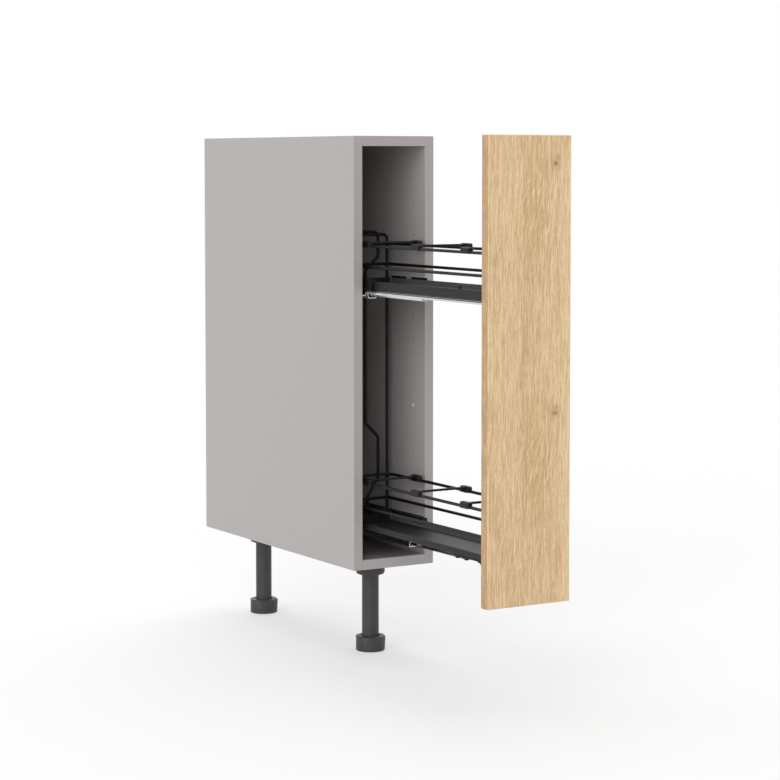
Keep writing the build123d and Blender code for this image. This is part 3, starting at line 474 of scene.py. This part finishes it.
def moulded_plastic(name, tone, rough, spark, gloss):
    """Injection-moulded plastic: spark-eroded skin, even in colour, soft at its highlights."""
    made, tree, place, _ = blank(name)
    # The mould's texture is about 0.2 mm, drawn at 0.6 mm so that it shows
    skin = add(tree, "TexNoise", place, Scale=1700.0, Detail=3.0, Roughness=0.6)
    flow = add(tree, "TexNoise", place, Scale=35.0, Detail=2.0)
    body = add(tree, "Mix RGBA", add(tree, "MapRange", flow, 0.35, 0.7, 0.0, 0.25), tone,
               paler(tone, 0.02))
    surfaced(tree, skin, spark, Base_Color=body, Specular_IOR_Level=gloss,
             Roughness=add(tree, "MapRange", skin, 0.3, 0.7, rough - 0.06, rough + 0.06))
    return made


def finish_of(slot):
    """Material for one of the part's finish slots, made once."""
    metal, plastic = bpy.context.scene.cabinet_metals, bpy.context.scene.cabinet_plastics
    maker, name, *values = {
        "zinc_steel": (bright_zinc, "bright_zinc_plate", metal),
        "dark_sheet": (powder_coat, "anthracite_powder_coat", metal.sheet, 0.5, 0.03 * MM, 0.25,
                       metal.sheet_inside),
        "dark_wire": (powder_coat, "black_powder_coat", metal.wire, 0.4, 0.015 * MM, 0.2),
        "black_plastic": (moulded_plastic, "moulded_black_nylon", plastic.black, 0.45,
                          0.02 * MM, 0.2),
        "leg_plastic": (moulded_plastic, "moulded_grey_polypropylene", plastic.leg, 0.5,
                        0.03 * MM, 0.4),
        "light_plastic": (moulded_plastic, "moulded_light_polyethylene", plastic.light, 0.4,
                          0.02 * MM, 0.5),
    }[slot]
    return bpy.data.materials.get(name) or maker(name, *values)


def dress(material, *names):
    """Give CAD nodes a material."""
    for name in names:
        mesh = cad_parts[name].data
        mesh.materials.clear()
        mesh.materials.append(material)


def of_levels(*endings):
    """Names of pieces at both levels."""
    return [f"{level}_{ending}" for level in LEVELS for ending in endings]


# Meshes
def linked(name, data):
    """Object in the scene for a mesh, curve, lamp or camera."""
    made = bpy.data.objects.new(name, data)
    bpy.context.scene.collection.objects.link(made)
    return made


def underside(low, high):
    """Middle of a box's underside."""
    return Vector(((low[0] + high[0]) / 2, (low[1] + high[1]) / 2, low[2]))


def new_piece(mesh, body, slot, node):
    """Link a mesh or curve under its own name. It rides on a body and stands for a CAD node."""
    piece = linked(mesh.name, mesh)
    mesh.materials.append(finish_of(slot))
    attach(piece, body)
    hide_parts(node)


def wire_curve(name, paths, radius, bend):
    """Round wire through corners given as points, each corner a true arc of the bend radius."""
    curve = bpy.data.curves.new(name, "CURVE")
    curve.dimensions = "3D"
    curve.bevel_depth = radius
    curve.bevel_resolution = 3
    curve.resolution_u = 7
    curve.use_fill_caps = True
    for path in paths:
        corners = [Vector(point) for point in path]
        knots = [(corners[0], (corners[1] - corners[0]).normalized(), 0.0, 0.0)]
        for before, corner, after in zip(corners, corners[1:], corners[2:]):
            come, go = (corner - before).normalized(), (after - corner).normalized()
            turn = come.angle(go)
            setback = bend * math.tan(turn / 2)
            # The handle's length that makes a cubic follow an arc
            handle = bend * 4 / 3 * math.tan(turn / 4)
            knots.append((corner - come * setback, come, 0.0, handle))
            knots.append((corner + go * setback, go, handle, 0.0))
        knots.append((corners[-1], (corners[-1] - corners[-2]).normalized(), 0.0, 0.0))
        spline = curve.splines.new("BEZIER")
        spline.bezier_points.add(len(knots) - 1)
        for point, (place, way, back, ahead) in zip(spline.bezier_points, knots):
            point.handle_left_type = point.handle_right_type = "FREE"
            point.co = place
            point.handle_left = place - way * (back or bend / 2)
            point.handle_right = place + way * (ahead or bend / 2)
    return curve


def lathe(work, profile, sides, centre, relief=None):
    """Turn a profile of (radius, height) about a vertical axis into a bmesh, and give its rings.
    The relief adds to the radius by angle and height."""
    rings = []
    for radius, height in profile:
        if radius == 0:
            rings.append([work.verts.new(centre + Vector((0, 0, height)))])
            continue
        ring = []
        for i in range(sides):
            angle = 2 * math.pi * i / sides
            reach = radius + (relief(angle, height) if relief else 0.0)
            ring.append(work.verts.new(centre + Vector((reach * math.cos(angle),
                                                        reach * math.sin(angle), height))))
        rings.append(ring)
    for low, high in zip(rings, rings[1:]):
        for i in range(sides):
            j = (i + 1) % sides
            if len(low) == 1:
                work.faces.new((low[0], high[i], high[j]))
            elif len(high) == 1:
                work.faces.new((low[i], high[0], low[j]))
            else:
                work.faces.new((low[i], high[i], high[j], low[j]))
    return rings


def smoothed(name, work):
    """Mesh from a bmesh, which is used up, with smooth faces and sharp edges."""
    bmesh.ops.recalc_face_normals(work, faces=work.faces)
    work.normal_update()
    for face in work.faces:
        face.smooth = True
    for edge in work.edges:
        edge.smooth = not edge.is_manifold or edge.calc_face_angle(0.0) < SHARP_BEND
    mesh = bpy.data.meshes.new(name)
    work.to_mesh(mesh)
    work.free()
    return mesh


def islands(name):
    """Low and high corner of each separate solid in a CAD node."""
    work = bmesh.new()
    work.from_mesh(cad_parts[name].data)
    bmesh.ops.remove_doubles(work, verts=work.verts, dist=WELD_GAP)
    left = set(work.verts)
    boxes = []
    while left:
        front = [left.pop()]
        found = list(front)
        while front:
            for edge in front.pop().link_edges:
                for vert in edge.verts:
                    if vert in left:
                        left.remove(vert)
                        front.append(vert)
                        found.append(vert)
        low = Vector([min(v.co[k] for v in found) for k in range(3)])
        high = Vector([max(v.co[k] for v in found) for k in range(3)])
        boxes.append((low, high))
    work.free()
    return sorted(boxes, key=lambda pair: tuple(round(c, 4) for c in pair[0]))


def screw_profile(head_radius, head_height, shank_radius, shank_length):
    """Profile of a pan-head screw from its point down the thread and over the head."""
    root, crest, neck = 0.72 * shank_radius, 0.98 * shank_radius, 0.9 * shank_radius
    neck_length, thread_start, plain = 0.3 * MM, 0.6 * MM, 3.0 * MM
    # The pitch of a chipboard screw is a little under half its diameter
    pitch_share = 0.45
    turns = max(3, int(shank_length / (pitch_share * 2 * shank_radius)))
    pitch = (shank_length - plain) / turns
    thread = []
    for i in range(turns):
        start = thread_start + pitch * i
        thread += [(root, start), (crest, start + 0.45 * pitch), (root, start + 0.9 * pitch)]
    return ([(0.0, shank_length)] + thread[::-1] + [(neck, neck_length), (neck, 0.0)]
            + [(out * head_radius, -drop * head_height) for out, drop in PAN_HEAD_SHARES])


def cross_screw(head_radius, head_height, shank_radius, shank_length, sizes):
    """Cross-recess pan-head screw: head below zero, shank up along +Z, thread on the shank."""
    work = bmesh.new()
    sides = 32
    profile = screw_profile(head_radius, head_height, shank_radius, shank_length)
    flat = lathe(work, profile, sides, Vector())[-1]
    # The recess narrows to its pit, and a small head takes a smaller one
    arm_share, depth_share, pit_share = 0.52, 0.7, 0.6
    half = sizes.recess_width / 2
    arm = min(sizes.recess_arm, arm_share * head_radius)
    depth = min(sizes.recess_depth, depth_share * head_height)
    cross, quarter = [], [(half, half), (arm, half), (arm, -half)]
    for _ in range(4):
        cross += quarter
        quarter = [(y, -x) for x, y in quarter]
    rim = [work.verts.new((x, y, -head_height)) for x, y in cross]
    pit = [work.verts.new((pit_share * x, pit_share * y, depth - head_height)) for x, y in cross]
    count = len(cross)
    inner = [work.edges.new((rim[i], rim[(i + 1) % count])) for i in range(count)]
    outer = [work.edges.get((flat[i], flat[(i + 1) % sides])) for i in range(sides)]
    bmesh.ops.triangle_fill(work, edges=inner + outer, use_beauty=True)
    for i in range(count):
        j = (i + 1) % count
        work.faces.new((rim[i], rim[j], pit[j], pit[i]))
    work.faces.new(pit)
    return work


def screws_for(node, axis, sign, head, shank, sizes):
    """Pan-head screws in the places of a node's solids, each turned a little differently."""
    whole = bmesh.new()
    way = Vector([sign if k == axis else 0.0 for k in range(3)])
    turn = Vector((0, 0, 1)).rotation_difference(way).to_matrix().to_4x4()
    for low, high in islands(node):
        centre = (low + high) / 2
        # Screws through a side wall point outwards on both sides
        side = 1.0 if axis else math.copysign(1.0, centre[0])
        spin = Matrix.Rotation(0.0 if side > 0 else math.pi, 4, "Z")
        radius = max(high[k] - low[k] for k in range(3) if k != axis) / 2
        seat = centre.copy()
        seat[axis] = low[axis] + head if sign * side > 0 else high[axis] - head
        one = cross_screw(radius, head, shank, high[axis] - low[axis] - head, sizes)
        angle = 0.9 * noise.noise(centre * 90.0) * math.pi
        one.transform(Matrix.Translation(seat) @ spin @ turn @ Matrix.Rotation(angle, 4, "Z"))
        copy = bpy.data.meshes.new("one_screw")
        one.to_mesh(copy)
        one.free()
        whole.from_mesh(copy)
        bpy.data.meshes.remove(copy)
    return whole


# Operators
class CABINET_OT_boards(bpy.types.Operator):
    """Finish the carcass panels, the back and what joins them"""
    bl_idname = "cabinet.boards"
    bl_label = "Boards"

    def execute(self, context):
        colours = context.scene.cabinet_boards
        dress(melamine_board("melamine_side", 0, colours), "left_side_panel", "right_side_panel")
        dress(melamine_board("melamine_shelf", 2, colours), "top_panel", "bottom_panel")
        for name in ("left_side_panel", "right_side_panel"):
            self.ease(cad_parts[name])
        dress(lacquered_hardboard(colours), "back_panel")
        dress(turned_beech(colours), "panel_dowels")
        dress(diecast_zinc(context.scene.cabinet_metals), "cam_fittings")
        dress(finish_of("zinc_steel"), "cam_bolts")
        dress(finish_of("light_plastic"), "linking_cap")
        return {"FINISHED"}

    def ease(self, board):
        """Take the sharpness off a side panel's arrises, so that its joints show as lines."""
        weld = board.modifiers.new("weld", "WELD")
        weld.merge_threshold = WELD_GAP
        arris = board.modifiers.new("arris", "BEVEL")
        arris.width = 0.5 * MM
        arris.segments = 2
        arris.angle_limit = math.radians(60)


class CABINET_OT_door(bpy.types.Operator):
    """Finish the door and its pads"""
    bl_idname = "cabinet.door"
    bl_label = "Door"

    def execute(self, context):
        dress(oak_decor(context.scene.cabinet_boards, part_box("door_panel")), "door_panel")
        dress(finish_of("light_plastic"), "door_bumpers")
        return {"FINISHED"}


class CABINET_OT_runners(bpy.types.Operator):
    """Finish the runners, their cages and rollers"""
    bl_idname = "cabinet.runners"
    bl_label = "Runners"

    def execute(self, context):
        metals = context.scene.cabinet_metals
        dress(finish_of("zinc_steel"),
              *of_levels("cabinet_rail", "middle_rail", "inner_rollers", "outer_rollers"))
        rails = of_levels("drawer_rail")
        # Heights of the painted shadow lines, in the sheet colour, a little below each drawer
        # rail's top
        seams = [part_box(rail)[1][2] - SEAM_DROP for rail in rails]
        dress(bright_zinc("zinc_plate_painted_shade", metals, metals.sheet, seams), *rails)
        dress(finish_of("black_plastic"), "rail_buffers", *of_levels("inner_cage", "outer_cage"))
        return {"FINISHED"}


class CABINET_OT_trays(bpy.types.Operator):
    """Finish the trays, brackets and clipped-on plastics"""
    bl_idname = "cabinet.trays"
    bl_label = "Trays"

    def execute(self, context):
        dress(finish_of("dark_sheet"), "lower_riser", *of_levels("tray", "front_bracket"))
        dress(finish_of("black_plastic"), "rear_holders", "tray_front_clips", "rim_guards",
              *of_levels(*[f"{place}_divider_clips" for place in DIVIDERS]))
        self.adjusters(context.scene.cabinet_fasteners)
        return {"FINISHED"}

    def adjusters(self, sizes):
        """Discs with a stud above and a fluted knob below, in the places of the CAD discs."""
        stud, stud_length, stud_chamfer = 2.5 * MM, 2.0 * MM, 0.2 * MM
        drop, grip, flutes, flute_end = sizes.knob_drop, sizes.knob_radius, 9, 0.2 * MM
        nose_in, nose_up, neck, edge = 0.6 * MM, 0.5 * MM, 0.3 * MM, 0.1 * MM

        def fluted(angle, height):
            """Inward reach of the flutes, between the knob's two rims."""
            if not flute_end - drop < height < -flute_end:
                return 0.0
            return -sizes.flute_depth * (0.5 + 0.5 * math.cos(flutes * angle))

        work = bmesh.new()
        for low, high in islands("tray_adjusters"):
            disc, top = (high[0] - low[0]) / 2, high[2] - low[2]
            seat = top - stud_length
            profile = [(0.0, -drop), (grip - nose_in, -drop), (grip, nose_up - drop),
                       (grip, -neck), (min(grip, disc - neck - edge), 0.0), (disc - neck, 0.0),
                       (disc, neck), (disc, seat - edge), (disc - edge, seat), (stud, seat),
                       (stud, top - stud_chamfer), (stud - stud_chamfer, top), (0.0, top)]
            lathe(work, profile, 72, underside(low, high), fluted)
        new_piece(smoothed("tray_adjusters_fluted", work), "pull_out", "black_plastic",
                  "tray_adjusters")


class CABINET_OT_wires(bpy.types.Operator):
    """Bend the round wires of the baskets, the rear frame and the dividers"""
    bl_idname = "cabinet.wires"
    bl_label = "Wires"

    def execute(self, context):
        sizes = context.scene.cabinet_wires
        for level in LEVELS:
            for which, bend in (("top", sizes.top_bend), ("low", sizes.low_bend)):
                node = f"{level}_{which}_ring"
                low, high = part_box(node)
                radius = (high[2] - low[2]) / 2
                x, y, z = high[0] - radius, high[1] - radius, (low[2] + high[2]) / 2
                path = [(-x, low[1], z), (-x, y, z), (x, y, z), (x, low[1], z)]
                self.wire(node, [path], radius, bend)
            for place in DIVIDERS:
                node = f"{level}_{place}_divider"
                low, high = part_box(node)
                radius = (high[2] - low[2]) / 2
                y, z = (low[1] + high[1]) / 2, (low[2] + high[2]) / 2
                path = [(low[0], y, z), (high[0], y, z)]
                self.wire(node, [path], radius, radius, node + "_set")
        self.rear_frame(sizes)
        return {"FINISHED"}

    def wire(self, node, paths, radius, bend, body="pull_out"):
        """Round wire that stands for a node."""
        new_piece(wire_curve(node + "_wire", paths, radius, bend), body, "dark_wire", node)

    def rear_frame(self, sizes):
        """Outer bow with its separate leg, and the inner bow with its jogs."""
        low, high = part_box("rear_frame_outer")
        radius = (high[1] - low[1]) / 2
        x, y, top = high[0] - radius, (low[1] + high[1]) / 2, high[2] - radius
        bow = [(x, y, low[2]), (x, y, top), (-x, y, top), (-x, y, top - sizes.short_leg)]
        leg = [(-x, y, low[2]), (-x, y, low[2] + sizes.low_leg)]
        self.wire("rear_frame_outer", [bow, leg], radius, sizes.outer_bend)
        low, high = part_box("rear_frame_inner")
        wide, y = high[0] - radius, high[1] - radius
        foot, top = low[2] + radius, high[2] - radius
        half = [(sizes.foot_half, low[1], foot), (sizes.foot_half, y, foot),
                (sizes.foot_half, y, foot + sizes.low_jog),
                (wide, y, foot + sizes.low_jog + sizes.low_jog_rise),
                (wide, y, foot + sizes.middle_jog),
                (sizes.narrow_half, y, foot + sizes.middle_jog + sizes.middle_jog_rise),
                (sizes.narrow_half, y, top - sizes.top_jog),
                (wide, y, top - sizes.top_jog + sizes.top_jog_rise), (wide, y, top)]
        path = half + [(-px, py, pz) for px, py, pz in reversed(half)]
        self.wire("rear_frame_inner", [path], radius, sizes.inner_bend)


class CABINET_OT_screws(bpy.types.Operator):
    """Make the pan-head screws with their cross recesses and threads"""
    bl_idname = "cabinet.screws"
    bl_label = "Screws"

    def execute(self, context):
        for node, (axis, sign, body, head, shank) in SCREWS.items():
            work = screws_for(node, axis, sign, head, shank, context.scene.cabinet_fasteners)
            new_piece(smoothed(node + "_crossed", work), body, "zinc_steel", node)
        return {"FINISHED"}


class CABINET_OT_feet(bpy.types.Operator):
    """Turn the screw feet with their threaded spindles"""
    bl_idname = "cabinet.feet"
    bl_label = "Feet"

    def execute(self, context):
        dress(finish_of("leg_plastic"), "leg_sockets", "leg_tubes")
        for place in ("front", "rear"):
            node = f"{place}_foot"
            work = bmesh.new()
            self.turn_foot(work, *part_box(node), context.scene.cabinet_fasteners)
            new_piece(smoothed(node + "_threaded", work), f"{place}_screw_foot", "leg_plastic",
                      node)
        return {"FINISHED"}

    def turn_foot(self, work, low, high, sizes):
        """Sole, rounded sides, recess and spindle in one turned skin."""
        radius, tall = (high[0] - low[0]) / 2, high[2] - low[2]
        top, floor = sizes.foot_height, sizes.foot_height - sizes.foot_recess
        root = sizes.spindle_radius - sizes.thread_depth
        rim, tip_height, tip_chamfer = 0.4 * MM, 1.5 * MM, 1.2 * MM
        ridge_share, steepness, run_out, rows_a_turn = 0.62, 1.5, 2 * MM, 14
        profile = [(0.0, 0.0)]
        for bend, height, first in ((sizes.sole_round, sizes.sole_round, -90),
                                    (sizes.top_round, top - sizes.top_round, 0)):
            for i in range(7):
                angle = math.radians(first + 15 * i)
                profile.append((radius - bend + bend * math.cos(angle),
                                height + bend * math.sin(angle)))
        profile += [(sizes.recess_radius + rim, top), (sizes.recess_radius, top - rim),
                    (sizes.recess_radius, floor + rim), (sizes.recess_radius - rim, floor),
                    (root + rim, floor)]
        start, end = floor + rim, tall - tip_height
        rows = int((end - start) / sizes.thread_pitch * rows_a_turn)
        profile += [(root, start + (end - start) * i / rows) for i in range(rows + 1)]
        profile += [(root - tip_chamfer, tall), (0.0, tall)]

        def thread(angle, height):
            """Height of the thread over its root at an angle and height."""
            if not start < height < end:
                return 0.0
            phase = (height / sizes.thread_pitch - angle / (2 * math.pi)) % 1.0
            ridge = max(0.0, 1.0 - abs(phase - 0.5) * 2 / ridge_share)
            fade = min(1.0, (height - start) / run_out, (end - height) / run_out)
            return sizes.thread_depth * min(1.0, ridge * steepness) * max(0.0, fade)

        lathe(work, profile, 64, underside(low, high), thread)


class CABINET_OT_studio(bpy.types.Operator):
    """Set the pale floor, the soft light and the camera"""
    bl_idname = "cabinet.studio"
    bl_label = "Studio"

    def execute(self, context):
        settings = context.scene.cabinet_studio
        self.floor(settings)
        self.light(context, settings)
        self.camera(context, settings)
        context.scene.view_settings.view_transform = "Standard"
        return {"FINISHED"}

    def floor(self, settings):
        """Matt white floor whose white comes only in part from the lamps."""
        half_width, gap = 30.0, 0.1 * MM
        work = bmesh.new()
        bmesh.ops.create_grid(work, x_segments=2, y_segments=2, size=half_width)
        mesh = bpy.data.meshes.new("studio_floor")
        work.to_mesh(mesh)
        work.free()
        floor = linked("studio_floor", mesh)
        floor.location.z = CAD_BOX[0][2] - gap
        made = bpy.data.materials.new("matt_white_sweep")
        tree = cleared(made)
        paint = (*[settings.floor_paint] * 3, 1.0)
        to_eye = add(tree, "AddShader", add(tree, "BsdfDiffuse", paint),
                     add(tree, "Emission", WHITE, settings.floor_glow))
        to_object = add(tree, "BsdfDiffuse", (0.75, 0.75, 0.75, 1.0))
        add(tree, "OutputMaterial", add(tree, "MixShader", self.seen(tree), to_object, to_eye))
        mesh.materials.append(made)

    def seen(self, tree):
        """One for rays that the eye follows, direct, by gloss or through glass."""
        path = add(tree, "LightPath").outputs
        direct = add(tree, "Math MAXIMUM", path["Is Camera Ray"], path["Is Glossy Ray"])
        return add(tree, "Math MAXIMUM", direct, path["Is Transmission Ray"])

    def light(self, context, settings):
        """White surroundings to the eye, an even sky to the surfaces, and two soft lamps."""
        world = bpy.data.worlds.new("white_studio")
        tree = cleared(world)
        level = add(tree, "MapRange", self.seen(tree), 0.0, 1.0, settings.sky, 1.0)
        add(tree, "OutputWorld", add(tree, "Background", WHITE, level))
        context.scene.world = world
        self.lamp("key_light", settings.key, 75, (0.17, 0.47, 0.87))
        self.lamp("fill_light", settings.fill, 60, (-0.71, -0.55, 0.42))

    def lamp(self, name, strength, degrees, towards):
        """Wide soft light from one direction."""
        data = bpy.data.lights.new(name, "SUN")
        data.energy = strength
        data.angle = math.radians(degrees)
        lamp = linked(name, data)
        lamp.rotation_mode = "QUATERNION"
        lamp.rotation_quaternion = Vector(towards).to_track_quat("Z", "Y")

    def camera(self, context, settings):
        """Camera at the photograph's angle."""
        data = bpy.data.cameras.new("camera")
        data.sensor_width = settings.sensor
        data.lens = settings.lens
        data.shift_y = settings.shift
        data.clip_start, data.clip_end = 0.05, 200.0
        camera = linked("camera", data)
        camera.location = settings.eye
        camera.rotation_euler = (math.pi / 2 - settings.tilt, 0.0, -settings.turn)
        context.scene.camera = camera


class CABINET_PT_panel(bpy.types.Panel):
    """Sidebar panel with the pieces and their values"""
    bl_idname = "CABINET_PT_panel"
    bl_label = "Pull-out cabinet"
    bl_space_type = "VIEW_3D"
    bl_region_type = "UI"
    bl_category = "Cabinet"

    def draw(self, context):
        for operator in OPERATORS:
            self.layout.operator(operator.bl_idname)
        for name, group in GROUPS.items():
            box = self.layout.box()
            box.label(text=group.__doc__)
            for key in group.__annotations__:
                box.prop(getattr(context.scene, name), key)


GROUPS = {"cabinet_boards": BoardColours, "cabinet_metals": MetalColours,
          "cabinet_plastics": PlasticColours, "cabinet_wires": WireSizes,
          "cabinet_fasteners": FastenerSizes, "cabinet_studio": StudioSettings}
OPERATORS = (CABINET_OT_boards, CABINET_OT_door, CABINET_OT_runners, CABINET_OT_trays,
             CABINET_OT_wires, CABINET_OT_screws, CABINET_OT_feet, CABINET_OT_studio)


def register():
    for name, group in GROUPS.items():
        bpy.utils.register_class(group)
        setattr(bpy.types.Scene, name, bpy.props.PointerProperty(type=group))
    for made in (*OPERATORS, CABINET_PT_panel):
        bpy.utils.register_class(made)


def unregister():
    for made in reversed((*OPERATORS, CABINET_PT_panel)):
        bpy.utils.unregister_class(made)
    for name, group in reversed(GROUPS.items()):
        delattr(bpy.types.Scene, name)
        bpy.utils.unregister_class(group)


def main():
    """Build the finished cabinet in its studio."""
    register()
    for name in ("boards", "door", "runners", "trays", "wires", "screws", "feet", "studio"):
        getattr(bpy.ops.cabinet, name)()


if __name__ == "__main__":
    main()
